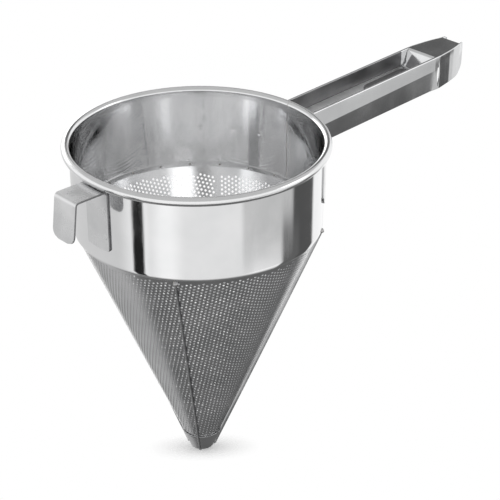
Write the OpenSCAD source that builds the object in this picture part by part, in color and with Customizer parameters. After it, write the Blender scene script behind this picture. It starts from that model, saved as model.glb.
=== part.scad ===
// Conical strainer: a rolled-rim band with a perforated cone welded in its foot, two crossed guard
// straps on edge, a solid tip cap, a long channel handle and a pot hook opposite it.
// Frame: the origin is the centre of the rim at the top of its bead, +X runs along the handle and
// +Z is up, so the cone points to -Z.

/* [Band] */
// Inside diameter of the band
band_inner_d = 192; // [160:1:230]
// Thickness of the band's sheet
band_t = 1; // [0.6:0.1:1.6]
// Height of the band with its bead
band_h = 70; // [62:1:90]
// Outside diameter of the rolled bead
bead_d = 6.8; // [5:0.1:9]
// Width of the butt seam of the band and of the cone
seam_w = 0.6; // [0.3:0.1:1.2]

/* [Cone] */
// Depth of the cone from the foot of the band to its small end
cone_depth = 213; // [170:1:260]
// Outside radius of the cone at its small end
cone_end_r = 8.6; // [6:0.1:14]
// Thickness of the cone's sheet
cone_t = 0.8; // [0.5:0.1:1.2]
// Height of the plain collar that lies inside the band
collar_h = 4; // [3:0.5:8]
// Diameter of the holes in the cone
hole_d = 5; // [2:0.1:6]
// Distance from hole to hole along the cone
hole_pitch = 22; // [12:0.5:24]
// Plain border between the band and the first row of holes
hole_border = 9; // [6:0.5:20]

/* [Straps and tip] */
// Thickness of a guard strap
strap_t = 1.2; // [0.8:0.1:2]
// How far a strap stands proud of the cone
strap_proud = 2.7; // [2:0.1:5]
// Angle of the first strap arm from the handle
strap_turn = 38.5; // [30:0.5:60]
// Wall of the tip cap
cap_t = 1; // [0.6:0.1:1.6]
// Length of cone that the tip cap covers
cap_lap = 16.5; // [6:0.5:20]
// Depth of the cap's round nose below the cone
cap_nose = 3; // [2:0.5:8]

/* [Handle] */
// Reach of the handle from the band to its end
handle_reach = 204; // [150:1:260]
// Outside width of the handle
handle_w = 33.4; // [28:0.2:40]
// Depth of the handle's side skirts
handle_skirt = 30.2; // [24:0.2:36]
// Thickness of the handle's sheet
handle_t = 1.2; // [0.8:0.1:1.6]
// Depth of the trough between the handle's top edges
trough_depth = 14.5; // [10:0.5:18]
// Upward slope of the handle in degrees
handle_slope = 2.4; // [0:0.1:6]
// Length of the closed and tapered end
end_len = 44; // [34:1:60]
// Outside width of the handle at its end
end_w = 19; // [14:0.5:26]
// Width of the hanging slot
slot_w = 24; // [16:0.5:25]
// Length of the hanging slot
slot_len = 58; // [40:1:80]
// Half the angle that the handle's wings cover on the band
wing_span = 54; // [35:1:70]
// Height of the wings
wing_h = 41; // [34:1:48]
// Radius of the bend from a wing to a skirt
wing_bend_r = 6; // [3:0.5:10]

/* [Hook] */
// Width of the hook
hook_w = 25; // [18:0.5:34]
// Reach of the hook from the band to its fold
hook_reach = 29; // [20:0.5:40]
// Drop of the hook's tip
hook_drop = 34; // [18:0.5:40]
// Height of the hook's plate on the band
hook_plate_h = 50; // [36:0.5:54]
// Thickness of the hook's sheet
hook_t = 1.5; // [1:0.1:2.5]
// Outward lean of the hook's tip in degrees
hook_splay = 7; // [0:0.5:15]

/* [Hidden] */

$fn = 96;

// Fits
lay_gap = 0.15;      // between two sheets that lie on each other
plug_gap = 0.03;     // round a weld in its seat
lap_gap = 0.1;       // between the two straps where they cross
seam_lap = 0.2;      // overlap of two stretches of one sheet, so that they join
join_step = 0.04;    // by which one stretch stands inside the next, so that no faces coincide
over = 1;            // how far a cutter runs past what it cuts

// Band
band_r_in = band_inner_d / 2;
band_r = band_r_in + band_t;
bead_r = bead_d / 2;
bead_c_r = band_r_in + bead_r;
bead_bottom = -bead_d;
curl_gap = 0.5;      // from the end of the curl to the band

// Cone
cone_top_r = band_r_in - lay_gap;
cone_tan = (cone_top_r - cone_end_r) / cone_depth;
cone_angle = atan(cone_tan);
cone_wall = cone_t / cos(cone_angle);
cone_end_z = -band_h - cone_depth;
cone_slant = cone_depth / cos(cone_angle);
cone_seam_angle = strap_turn;
function cone_r(z) = cone_top_r + cone_tan * (z + band_h);

// Tip
cap_top_z = cone_end_z + cap_lap;
cap_bottom = cone_end_z - cap_nose - cap_t;
strap_bottom = cap_bottom - lay_gap - strap_proud;
strap_out = strap_proud / cos(cone_angle);

// Welds
spot_d = 4;          // diameter of a spot weld
spot_dish = 0.2;     // depth of the dimple it leaves on each side
strap_weld_r = 2.3;
handle_weld_shares = [0.3, 0.575, 0.87];  // places of the welds along a wing
handle_weld_drop = 0.66;                  // share of the wings' height down to their welds
hook_weld_share = 0.36;                   // welds off the middle, as a share of the hook's width
hook_weld_drops = [0.33, 0.765];          // shares of the plate's height down to its welds
cone_weld_count = 24;
cone_weld_d = 2;

// Handle
sheet_r = band_r + lay_gap;
skirt_y = handle_w / 2;
end_y = end_w / 2;
bead_clear = 1.4;    // from the bead down to the handle's wings
plate_top = bead_bottom - bead_clear;
handle_end = band_r + handle_reach;
kink_x = handle_end - end_len;
slope_t = tan(handle_slope);
end_slope_t = slope_t / 2;
kink_z = plate_top + slope_t * (kink_x - band_r);
function edge_z(x) = x < kink_x ? plate_top + slope_t * (x - band_r)
                                : kink_z + end_slope_t * (x - kink_x);
bend_x = sqrt(pow(sheet_r + handle_t + wing_bend_r, 2) - pow(skirt_y + wing_bend_r, 2));
mid_share = 0.64;    // share of the end's length after which it tapers faster
mid_taper = 0.42;    // share of the taper done by then
mid_x = kink_x + end_len * mid_share;
mid_y = skirt_y - (skirt_y - end_y) * mid_taper;
root_gap = 2.5;      // from the band to the trough's floor
end_rise = 2;        // how much shallower the skirts are at the end
flare_len = 24;      // where the skirts narrow from the wings' height to their own
end_round = 11;      // round lower corner of the end
top_back = 5;        // how far the closed top stops short of the skirts' end
ramp_len = 10;       // run of the ramp between the trough's floor and the closed top
ramp_past = 4;       // how far the ramp's top lies past the start of the taper
ramp_foot_x = kink_x + ramp_past - ramp_len;
ramp_thin = 0.6;     // share of the sheet by which the ramp's underside is set over
floor_strip = 2;     // floor left between the slot and the ramp
slot_round = 5;      // corner radius at the slot's outer end
slit_len = 25;       // relief slit in each skirt at the bend
slit_w = 3.4;
slit_down = 3;       // top of the slit below the skirt's top edge
corner_r = 7;        // rounded corners of the wings
wing_overlap = 0.2;  // degrees by which a wing runs into its bend

// Hook
hook_rise = 1;       // how far the hook's arm lies above the top of the wings
hook_top = plate_top + hook_rise;
hook_fold_r = 2;
hook_corner_r = 7;   // lower corners of the tip
plate_corner_r = 2;  // lower corners of the plate
hook_root_r = 2.5;
root_step = 15;      // degrees between the points of the hook's root bend

module sector(r_in, r_out, z_low, z_high, from, to) {
  rotate([0, 0, from])
    rotate_extrude(angle = to - from)
      translate([r_in, z_low])
        square([r_out - r_in, z_high - z_low]);
}

// Flat plate seen from the side, in X and Z, as wide as y_width
module side_plate(y_width) {
  translate([0, y_width / 2, 0])
    rotate([90, 0, 0])
      linear_extrude(height = y_width)
        children();
}

// Plugs on a ring of radius r, pointing outwards
module plug_ring(angles, z, r_from, r_to, d) {
  for (a = angles)
    rotate([0, 0, a])
      translate([r_from, 0, z])
        rotate([0, 90, 0])
          cylinder(h = r_to - r_from, d = d, $fn = 32);
}

handle_weld_angles = [for (s = [-1, 1], k = handle_weld_shares) s * k * wing_span];
handle_weld_z = plate_top - wing_h * handle_weld_drop;
hook_weld_half = hook_w * hook_weld_share / band_r * 180 / PI;
hook_weld_angles = [180 - hook_weld_half, 180 + hook_weld_half];
hook_weld_z = [for (k = hook_weld_drops) hook_top - hook_plate_h * k];
cone_weld_angles = [for (k = [0 : cone_weld_count - 1]) (k + 0.5) * 360 / cone_weld_count];
cone_weld_z = -band_h + collar_h / 2;

module handle_plugs(d, r_from, r_to) {
  plug_ring(handle_weld_angles, handle_weld_z, r_from, r_to, d);
}

module hook_plugs(d, r_from, r_to) {
  for (z = hook_weld_z)
    plug_ring(hook_weld_angles, z, r_from, r_to, d);
}

module cone_plugs(d, r_from, r_to) {
  plug_ring(cone_weld_angles, cone_weld_z, r_from, r_to, d);
}

module band() {
  color([0.78, 0.79, 0.8])
    difference() {
      rotate_extrude() {
        translate([band_r_in, -band_h])
          square([band_t, band_h - bead_r]);
        difference() {
          translate([bead_c_r, -bead_r])
            circle(r = bead_r, $fn = 64);
          translate([bead_c_r, -bead_r])
            circle(r = bead_r - band_t, $fn = 64);
          translate([band_r, -bead_d - over])
            square([curl_gap, bead_r + over]);
        }
      }
      translate([band_r_in - over, -seam_w / 2, -band_h - over])
        cube([bead_d + 2 * over, seam_w, band_h + 2 * over]);
      handle_plugs(spot_d, band_r_in - over, band_r + over);
      hook_plugs(spot_d, band_r_in - over, band_r + over);
      cone_plugs(cone_weld_d, band_r_in - over, band_r + over);
    }
}

// Weld that closes the band's butt joint
module band_seam() {
  color([0.62, 0.62, 0.64])
    intersection() {
      sector(band_r_in + spot_dish, band_r - spot_dish / 2, -band_h, bead_bottom, -seam_w, seam_w);
      translate([band_r_in - over, -seam_w / 2 + plug_gap, -band_h])
        cube([band_t + 2 * over, seam_w - 2 * plug_gap, band_h]);
    }
}

module cone_sheet() {
  difference() {
    union() {
      translate([0, 0, cone_end_z])
        cylinder(h = cone_depth, r1 = cone_end_r, r2 = cone_top_r);
      translate([0, 0, -band_h])
        cylinder(h = collar_h, r = cone_top_r);
    }
    translate([0, 0, cone_end_z - over])
      cylinder(h = cone_depth + over, r1 = cone_end_r - cone_wall - cone_tan * over,
               r2 = cone_top_r - cone_wall);
    translate([0, 0, -band_h])
      cylinder(h = collar_h + over, r = cone_top_r - cone_wall);
  }
}

module cone_seam_slab(width) {
  rotate([0, 0, cone_seam_angle])
    translate([0, -width / 2, cone_end_z - over])
      cube([band_r, width, cone_depth + collar_h + 2 * over]);
}

// Staggered rows of round holes, each square to the sheet
module cone_holes() {
  rows = floor((cone_slant - hole_border - cap_lap - hole_d) / hole_pitch);
  for (row = [0 : rows]) {
    z = -band_h - (hole_border + row * hole_pitch) * cos(cone_angle);
    r = cone_r(z);
    count = floor(2 * PI * r / hole_pitch);
    for (k = [0 : count - 1]) {
      turn = cone_seam_angle + (k + (row % 2 == 0 ? 0.5 : 1)) * 360 / count;
      clear_of_seam = r * abs(sin((turn - cone_seam_angle) / 2)) * 2 > hole_d;
      if (clear_of_seam)
        rotate([0, 0, turn])
          translate([r, 0, z])
            rotate([0, 90 + cone_angle, 0])
              translate([0, 0, -2 * cone_t])
                cylinder(h = 3 * cone_t, d = hole_d, $fn = 24);
    }
  }
}

module cone_screen() {
  color([0.7, 0.71, 0.72])
    difference() {
      cone_sheet();
      cone_seam_slab(seam_w);
      cone_holes();
      cone_plugs(cone_weld_d, cone_top_r - cone_wall - over, band_r);
    }
}

// Weld that closes the rolled cone along one side
module cone_seam() {
  color([0.6, 0.6, 0.62])
    intersection() {
      cone_sheet();
      cone_seam_slab(seam_w - 2 * plug_gap);
    }
}

// Spot welds from the cone's collar to the band
module cone_welds() {
  color([0.66, 0.66, 0.68])
    cone_plugs(cone_weld_d - 2 * plug_gap, cone_top_r - cone_wall + spot_dish, band_r - spot_dish);
}

// Outline of the cap: a cone over the screen that ends in a round nose
module cap_outline(grow) {
  nose_r = cone_end_r + cap_t + lay_gap + grow;
  nose_z = cone_end_z;
  polygon(concat([[0, cap_top_z], [nose_r + cone_tan * cap_lap, cap_top_z], [nose_r, nose_z]],
                 [for (a = [10 : 10 : 90])
                   [nose_r * cos(a), nose_z - (nose_z - cap_bottom + grow) * sin(a)]]));
}

module cap_space(grow) {
  rotate_extrude()
    cap_outline(grow);
}

module tip_cap() {
  color([0.78, 0.79, 0.8])
    difference() {
      cap_space(0);
      rotate_extrude()
        polygon([[0, cap_top_z + over],
                 [cone_r(cap_top_z + over) + lay_gap, cap_top_z + over],
                 [cone_end_r + lay_gap, cone_end_z],
                 [cone_end_r - cap_nose / 2, cone_end_z - cap_nose / 2],
                 [0, cone_end_z - cap_nose]]);
    }
}

// Outline of a strap on edge: down one side of the cone, under the tip and up the other side
strap_top_z = -band_h - 2 * strap_weld_r;
strap_bend_rise = 2;
strap_bend_z = cone_end_z + strap_bend_rise;
strap_bend_x = cone_r(cone_end_z) + strap_out;
strap_top_x = cone_r(strap_top_z) + strap_out;
strap_turns = [0 : 15 : 90];
strap_arc = [for (a = strap_turns) [strap_bend_x * sin(a),
                                    strap_bend_z - (strap_bend_z - strap_bottom) * cos(a)]];
strap_outline = concat(strap_arc, [[strap_top_x, strap_top_z], [-strap_top_x, strap_top_z]],
                       [for (k = [len(strap_arc) - 1 : -1 : 1]) [-strap_arc[k][0], strap_arc[k][1]]]);

module strap(turn) {
  rotate([0, 0, turn])
    difference() {
      intersection() {
        side_plate(strap_t)
          polygon(strap_outline);
        translate([0, 0, strap_bottom - over])
          cylinder(h = -strap_bottom, r = band_r);
      }
      translate([0, 0, cone_end_z])
        cylinder(h = cone_depth, r1 = cone_end_r + lay_gap, r2 = cone_top_r + lay_gap);
      cap_space(lay_gap);
    }
}

lap_z = (cap_bottom - lay_gap + strap_bottom) / 2;
lap_w = strap_t + 2 * lap_gap;

module guard_strap_a() {
  color([0.74, 0.75, 0.77])
    difference() {
      strap(strap_turn);
      rotate([0, 0, strap_turn])
        translate([-lap_w / 2, -lap_w, strap_bottom - over])
          cube([lap_w, 2 * lap_w, lap_z - strap_bottom + over]);
    }
}

module guard_strap_b() {
  color([0.74, 0.75, 0.77])
    difference() {
      strap(strap_turn + 90);
      rotate([0, 0, strap_turn + 90])
        translate([-lap_w / 2, -lap_w, lap_z - lap_gap])
          cube([lap_w, 2 * lap_w, cap_top_z - lap_z]);
    }
}

// Bead of weld that holds the top of each strap arm under the band
module strap_welds() {
  color([0.66, 0.66, 0.68])
    for (k = [0 : 3])
      rotate([0, 0, strap_turn + k * 90])
        difference() {
          translate([cone_r(-band_h - strap_weld_r) + strap_weld_r / 2, 0, -band_h - strap_weld_r])
            sphere(r = strap_weld_r, $fn = 32);
          translate([0, 0, cone_end_z])
            cylinder(h = cone_depth, r1 = cone_end_r + plug_gap, r2 = cone_top_r + plug_gap);
          translate([0, -strap_weld_r - over, -band_h - plug_gap])
            cube([band_r + bead_d, 2 * strap_weld_r + 2 * over, bead_d]);
          translate([0, -strap_weld_r - over, strap_top_z - bead_d])
            cube([band_r + bead_d, 2 * strap_weld_r + 2 * over, bead_d + plug_gap]);
        }
}

// Plan of one skirt: wing bend, straight side and tapered end, on the +Y side
module skirt_plan() {
  bend_y = skirt_y + wing_bend_r;
  bend_out = wing_bend_r + handle_t;
  intersection() {
    translate([bend_x, bend_y])
      difference() {
        circle(r = bend_out + join_step);
        circle(r = wing_bend_r - join_step);
      }
    polygon([[bend_x, bend_y],
             [bend_x * (1 - bend_out / sheet_r), bend_y * (1 - bend_out / sheet_r)],
             [bend_x, bend_y - 2 * bend_out]]);
  }
  polygon([[bend_x - seam_lap, skirt_y - handle_t],
           [kink_x, skirt_y - handle_t],
           [mid_x, mid_y - handle_t],
           [handle_end, end_y - handle_t],
           [handle_end, end_y],
           [mid_x, mid_y],
           [kink_x, skirt_y],
           [bend_x - seam_lap, skirt_y]]);
}

// Outline of the whole handle from the side
module skirt_side() {
  low_kink = edge_z(kink_x) - handle_skirt;
  low_end = edge_z(handle_end) - handle_skirt + end_rise;
  difference() {
    polygon([[band_r_in, edge_z(band_r_in)],
             [kink_x, edge_z(kink_x)],
             [handle_end, edge_z(handle_end)],
             [handle_end, low_end],
             [kink_x, low_kink],
             [bend_x + flare_len, edge_z(bend_x + flare_len) - handle_skirt],
             [bend_x, plate_top - wing_h],
             [band_r_in, plate_top - wing_h]]);
    difference() {
      translate([handle_end - end_round, low_end - over])
        square([end_round + over, end_round + over]);
      translate([handle_end - end_round, low_end + end_round])
        circle(r = end_round);
    }
    slit_r = (slit_len * slit_len / 4 + slit_w * slit_w / 4) / slit_w;
    slit_z = edge_z(kink_x) - slit_down - slit_len / 2;
    intersection() {
      translate([kink_x + slit_w / 2 + slit_r, slit_z])
        circle(r = slit_r);
      translate([kink_x + slit_w * 3 / 2 - slit_r, slit_z])
        circle(r = slit_r);
    }
  }
}

// Inside of the handle seen from above, between the skirts
module inner_plan() {
  y0 = skirt_y - handle_t / 2;
  y1 = mid_y - handle_t / 2;
  y2 = end_y - handle_t / 2;
  x0 = band_r + root_gap;
  polygon([[x0, -y0], [kink_x, -y0], [mid_x, -y1], [handle_end, -y2],
           [handle_end, y2], [mid_x, y1], [kink_x, y0], [x0, y0]]);
}

// Floor of the trough, the ramp and the closed top, seen from the side
module tray_side() {
  x0 = band_r_in;
  x1 = ramp_foot_x;
  x2 = ramp_foot_x + ramp_len;
  x3 = handle_end - top_back;
  steps = 6;
  function ramp_z(x) = let (s = (x - x1) / (x2 - x1))
    edge_z(x) - join_step - trough_depth * (1 - (3 * s * s - 2 * s * s * s));
  ramp = [for (k = [0 : steps]) x1 + (x2 - x1) * k / steps];
  upper = concat([[x0, edge_z(x0) - join_step - trough_depth]], [for (x = ramp) [x, ramp_z(x)]],
                 [[x3, edge_z(x3) - join_step]]);
  lower = [for (k = [len(upper) - 1 : -1 : 0])
            [upper[k][0] + (k > 1 && k < len(upper) - 2 ? handle_t * ramp_thin : 0),
             upper[k][1] - handle_t]];
  polygon(concat(upper, lower));
}

module slot_plan() {
  x_end = ramp_foot_x - floor_strip;
  x_start = x_end - slot_len;
  translate([x_start + slot_w / 2, 0])
    circle(r = slot_w / 2);
  translate([x_start + slot_w / 2, -slot_w / 2])
    square([slot_len - slot_w / 2 - slot_round, slot_w]);
  translate([x_end - slot_round - over, -slot_w / 2 + slot_round])
    square([slot_round + over, slot_w - 2 * slot_round]);
  for (s = [-1, 1])
    translate([x_end - slot_round, s * (slot_w / 2 - slot_round)])
      circle(r = slot_round);
}

module tall(low, high) {
  translate([0, 0, low])
    linear_extrude(height = high - low)
      children();
}

// A wing wraps the band on each side of the handle and has round corners
module wing() {
  start = atan2(skirt_y + wing_bend_r, bend_x) - wing_overlap;
  intersection() {
    sector(sheet_r, sheet_r + handle_t, plate_top - wing_h - over, plate_top + over, start,
           wing_span + corner_r);
    rotate([0, 0, wing_span])
      rotate([90, 0, 90])
        linear_extrude(height = sheet_r + handle_t + over)
          wing_side();
  }
}

// Outline of a wing seen along X, with its free end at zero
module wing_side() {
  low = plate_top - wing_h;
  translate([-band_r, low])
    square([band_r - corner_r, wing_h]);
  translate([-corner_r - over, low + corner_r])
    square([corner_r + over, wing_h - 2 * corner_r]);
  for (z = [low + corner_r, plate_top - corner_r])
    translate([-corner_r, z])
      circle(r = corner_r);
}

module handle() {
  inner_x = band_r + root_gap + seam_lap;
  low = plate_top - wing_h - over;
  high = edge_z(handle_end) + over;
  color([0.78, 0.79, 0.8])
    difference() {
      union() {
        intersection() {
          tall(low, high) {
            skirt_plan();
            mirror([0, 1])
              skirt_plan();
          }
          side_plate(3 * handle_w)
            skirt_side();
        }
        intersection() {
          tall(low, high)
            inner_plan();
          side_plate(2 * handle_w)
            tray_side();
        }
        // inner layer of the folded edge, from the top edge down to the trough's floor
        intersection() {
          for (s = [-1, 1])
            translate([inner_x, s * (skirt_y - handle_t * 3 / 2) - handle_t / 2 - seam_lap, low])
              cube([kink_x - inner_x, handle_t + 2 * seam_lap, high - low]);
          side_plate(2 * handle_w)
            polygon([[band_r, edge_z(band_r) - join_step], [kink_x, edge_z(kink_x) - join_step],
                     [kink_x, edge_z(kink_x) - handle_t],
                     [ramp_foot_x, edge_z(kink_x) - trough_depth - handle_t / 2],
                     [band_r, edge_z(band_r) - trough_depth - handle_t / 2]]);
        }
        wing();
        mirror([0, 1, 0])
          wing();
      }
      tall(edge_z(band_r) - trough_depth - 2 * handle_t - over, high)
        slot_plan();
      handle_plugs(spot_d, sheet_r - over, sheet_r + handle_t + over);
    }
}

// Spot welds from the wings to the band
module handle_welds() {
  color([0.66, 0.66, 0.68])
    handle_plugs(spot_d - 2 * plug_gap, band_r_in + spot_dish, sheet_r + handle_t - spot_dish);
}

// Side profile of the hook beyond the band, along +X: arm, fold and tip
module hook_side() {
  under = hook_top - hook_t;
  fold_x = band_r + hook_reach - hook_fold_r - hook_t;
  fold_z = under - hook_fold_r;
  far = 4 * (hook_fold_r + hook_t);
  translate([sheet_r + hook_root_r, under])
    square([fold_x + seam_lap - sheet_r - hook_root_r, hook_t]);
  translate([fold_x, fold_z]) {
    intersection() {
      difference() {
        circle(r = hook_fold_r + hook_t);
        circle(r = hook_fold_r);
      }
      polygon([[0, 0], [0, far], [far, far], [far * cos(hook_splay), far * sin(hook_splay)]]);
    }
    rotate([0, 0, hook_splay])
      translate([hook_fold_r, -hook_drop + hook_fold_r + hook_t])
        square([hook_t, hook_drop + seam_lap - hook_fold_r - hook_t]);
  }
}

// Section of the plate and its bend, turned about the strainer's axis
module hook_root_section() {
  c_r = sheet_r + hook_t + hook_root_r;
  c_z = hook_top - hook_t - hook_root_r;
  polygon(concat([[sheet_r, hook_top - hook_plate_h]],
                 [for (a = [0 : root_step : 90]) [c_r - (hook_root_r + hook_t) * cos(a),
                                                  c_z + (hook_root_r + hook_t) * sin(a)]],
                 [[c_r + over, hook_top], [c_r + over, hook_top - hook_t]],
                 [for (a = [90 : -root_step : 0]) [c_r - hook_root_r * cos(a),
                                                   c_z + hook_root_r * sin(a)]],
                 [[sheet_r + hook_t, hook_top - hook_plate_h]]));
}

module hook() {
  half = hook_w / 2;
  color([0.78, 0.79, 0.8])
    rotate([0, 0, 180])
      difference() {
        union() {
          intersection() {
            rotate_extrude()
              hook_root_section();
            plate_mask(half, hook_top - hook_plate_h, plate_corner_r, band_r_in - over,
                       band_r + hook_reach / 2);
          }
          difference() {
            intersection() {
              side_plate(hook_w)
                hook_side();
              plate_mask(half, hook_top - hook_drop, hook_corner_r, band_r_in - over,
                         band_r + 2 * hook_reach);
            }
            translate([0, 0, hook_top - hook_t - over])
              cylinder(h = hook_t + 2 * over, r = sheet_r + hook_t + hook_root_r);
          }
        }
        rotate([0, 0, 180])
          hook_plugs(spot_d, sheet_r - over, sheet_r + hook_t + over);
      }
}

// Block with lower corners of radius r, seen along X, from x_from to x_to
module plate_mask(half, low, r, x_from, x_to) {
  translate([x_from, 0, 0])
    rotate([90, 0, 90])
      linear_extrude(height = x_to - x_from)
        round_foot(half, low, r, hook_top + over);
}

module round_foot(half, low, r, high) {
  translate([-half, low + r])
    square([2 * half, high - low - r]);
  translate([-half + r, low])
    square([2 * (half - r), r + over]);
  for (s = [-1, 1])
    translate([s * (half - r), low + r])
      circle(r = r);
}

// Spot welds from the hook's plate to the band
module hook_welds() {
  color([0.66, 0.66, 0.68])
    hook_plugs(spot_d - 2 * plug_gap, band_r_in + spot_dish, sheet_r + hook_t - spot_dish);
}

band();
band_seam();
cone_screen();
cone_seam();
cone_welds();
tip_cap();
guard_strap_a();
guard_strap_b();
strap_welds();
handle();
handle_welds();
hook();
hook_welds();
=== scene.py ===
import math

import bmesh
import bpy
import numpy as np
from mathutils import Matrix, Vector


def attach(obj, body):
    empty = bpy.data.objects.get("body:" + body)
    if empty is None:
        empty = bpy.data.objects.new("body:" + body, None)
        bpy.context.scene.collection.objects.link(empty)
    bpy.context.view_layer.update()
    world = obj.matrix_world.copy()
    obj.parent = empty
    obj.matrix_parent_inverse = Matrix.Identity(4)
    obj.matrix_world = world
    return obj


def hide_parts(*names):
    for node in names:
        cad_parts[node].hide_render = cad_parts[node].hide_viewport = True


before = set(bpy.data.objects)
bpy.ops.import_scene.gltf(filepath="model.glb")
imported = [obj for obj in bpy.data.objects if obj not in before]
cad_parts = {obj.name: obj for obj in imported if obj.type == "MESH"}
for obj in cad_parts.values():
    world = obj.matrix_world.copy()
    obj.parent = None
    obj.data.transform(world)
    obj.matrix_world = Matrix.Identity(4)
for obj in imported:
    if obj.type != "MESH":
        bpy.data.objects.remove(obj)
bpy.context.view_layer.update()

MM = 0.001
SCENE = bpy.context.scene


# Sizes of the CAD source, in millimetres
BAND_R_IN, BAND_R, BAND_H = 96.0, 97.0, 70.0
BEAD_R, BEAD_C = 3.4, 99.4
SHEET_R = 97.15
CONE_TOP_R, CONE_END_R, CONE_DEPTH, CONE_T = 95.85, 8.6, 213.0, 0.8
CONE_ANGLE = math.atan((CONE_TOP_R - CONE_END_R) / CONE_DEPTH)
CONE_END_Z = -BAND_H - CONE_DEPTH
APEX_Z = CONE_END_Z - CONE_END_R / math.tan(CONE_ANGLE)
STRAP_TURN, STRAP_PROUD, STRAP_T = 38.5, 2.7, 1.2
CAP_LAP, CAP_DROP, CAP_T, CAP_GAP = 16.5, 4.0, 1.0, 0.15
LOWEST_Z = CONE_END_Z - CAP_DROP - CAP_GAP - STRAP_PROUD
PLATE_TOP = -8.2
WING_SPAN, WING_H, WING_T = 54.0, 41.0, 1.2
HALF_W = 16.7
TAPER = [(257, HALF_W), (264, 16.45), (271, 15.6), (278, 14.65), (285, 13.4), (290, 12.25),
         (295, 10.9), (298, 10.15), (301, 9.5)]  # x and half width, past the kink
HANDLE_END, KINK_X, CLOSED_END = 301.0, 257.0, 296.0
BEND_X, BEND_Y, BEND_R = 101.85, HALF_W + 6, 6.6  # where a skirt's end bends into its wing
SKIRT, TROUGH, EDGE_R, LIP, FLOOR_R = 30.2, 14.5, 0.75, 2.4, 2.2
TROUGH_END = 248.0
SLOPE = math.tan(math.radians(2.4))
HOOK_T, HOOK_TOP, HOOK_HALF_W = 1.5, -7.2, 12.5
HOOK_REACH, HOOK_DROP, HOOK_PLATE, HOOK_TILT = 29.0, 34.0, 50.0, 7.0
ROOT_R, FOLD_R = 2.5, 2.0
PLATE_CORNER, TIP_CORNER, WING_CORNER = 2, 7, 7

# Spot welds: degrees from the handle or the hook, and heights
SPOT_ANGLES, SPOT_Z = (16.2, 31.05, 46.98), PLATE_TOP - WING_H * 0.66
HOOK_SPOT_ANGLE, HOOK_SPOT_Z = 5.32, (-23.7, -45.45)
CONE_SPOTS, CONE_SPOT_Z = 24, -68.0
DENT, DENT_R, CONE_DENT_R = 0.22, 1.9, 0.9  # the dimples that they leave in the band


def cone_r(z):
    """Radius of the cone's outer face."""
    return CONE_TOP_R + (z + BAND_H) * math.tan(CONE_ANGLE)


def edge_z(x):
    """Height of the handle's top edge, which rises half as steeply past the kink."""
    if x < KINK_X:
        return PLATE_TOP + SLOPE * (x - BAND_R)
    return PLATE_TOP + SLOPE * (KINK_X - BAND_R) + SLOPE / 2 * (x - KINK_X)


def smooth(t):
    """A soft step from 0 to 1."""
    t = min(1.0, max(0.0, t))
    return t * t * (3 - 2 * t)


# Mesh helpers: points come in millimetres

def linked(name, verts, faces):
    """A new mesh object in the scene."""
    me = bpy.data.meshes.new(name)
    me.from_pydata([tuple(c * MM for c in v) for v in verts], [], faces)
    me.validate()
    me.update()
    ob = bpy.data.objects.new(name, me)
    SCENE.collection.objects.link(ob)
    return ob


def make(name, mesh, material, node, angle):
    """One visible piece, which stands in for the CAD node."""
    ob = linked(name, *mesh)
    ob.data.materials.append(material)
    shade(ob, angle)
    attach(ob, "root")
    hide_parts(node)
    return ob


def paint(ob, material, chosen):
    """Gives the faces that chosen picks a second material."""
    ob.data.materials.append(material)
    index = len(ob.data.materials) - 1
    for poly in ob.data.polygons:
        if chosen(poly):
            poly.material_index = index


def apply_modifiers(ob):
    """Puts the modifiers' result in the mesh's place."""
    dg = bpy.context.evaluated_depsgraph_get()
    me = bpy.data.meshes.new_from_object(ob.evaluated_get(dg))
    old = ob.data
    ob.modifiers.clear()
    ob.data = me
    bpy.data.meshes.remove(old)


def outward(ob):
    """Turns all faces outward."""
    bm = bmesh.new()
    bm.from_mesh(ob.data)
    bmesh.ops.recalc_face_normals(bm, faces=bm.faces)
    bm.to_mesh(ob.data)
    bm.free()


def shade(ob, angle):
    """Smooth shading, but for edges sharper than the angle."""
    me = ob.data
    me.polygons.foreach_set("use_smooth", [True] * len(me.polygons))
    me.set_sharp_from_angle(angle=math.radians(angle))


def grid_faces(rows, cols, flip=False):
    """Quads between rings of points, each ring closed."""
    faces = []
    for i in range(rows - 1):
        for j in range(cols):
            a, b = i * cols + j, i * cols + (j + 1) % cols
            c, d = b + cols, a + cols
            faces.append((a, d, c, b) if flip else (a, b, c, d))
    return faces


def loft(sections):
    """A closed skin over sections of equal length, each a closed ring of points."""
    verts = [p for s in sections for p in s]
    cols = len(sections[0])
    faces = grid_faces(len(sections), cols)
    faces.append(tuple(range(cols - 1, -1, -1)))
    last = (len(sections) - 1) * cols
    faces.append(tuple(range(last, last + cols)))
    return verts, faces


def lathe(profile, count):
    """A closed profile of radii and heights, turned round the axis."""
    verts, faces = [], []
    for k in range(count):
        a = 2 * math.pi * k / count
        c, s = math.cos(a), math.sin(a)
        verts += [(r * c, r * s, z) for r, z in profile]
    n = len(profile)
    for k in range(count):
        k2 = (k + 1) % count
        for j in range(n):
            j2 = (j + 1) % n
            faces.append((k * n + j, k * n + j2, k2 * n + j2, k2 * n + j))
    return verts, faces


def around(cx, cy, r, angles):
    """The points of a circle at these angles, in degrees."""
    return [(cx + r * math.cos(math.radians(a)), cy + r * math.sin(math.radians(a))) for a in angles]


def arc(cx, cy, r, a0, a1, steps):
    """The points of an arc, from one angle to the other in equal steps."""
    return around(cx, cy, r, [a0 + (a1 - a0) * k / steps for k in range(steps + 1)])


def merge(*parts):
    """Several meshes as one."""
    verts, faces = [], []
    for v, f in parts:
        base = len(verts)
        verts += v
        faces += [tuple(i + base for i in face) for face in f]
    return verts, faces


# Materials

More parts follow.
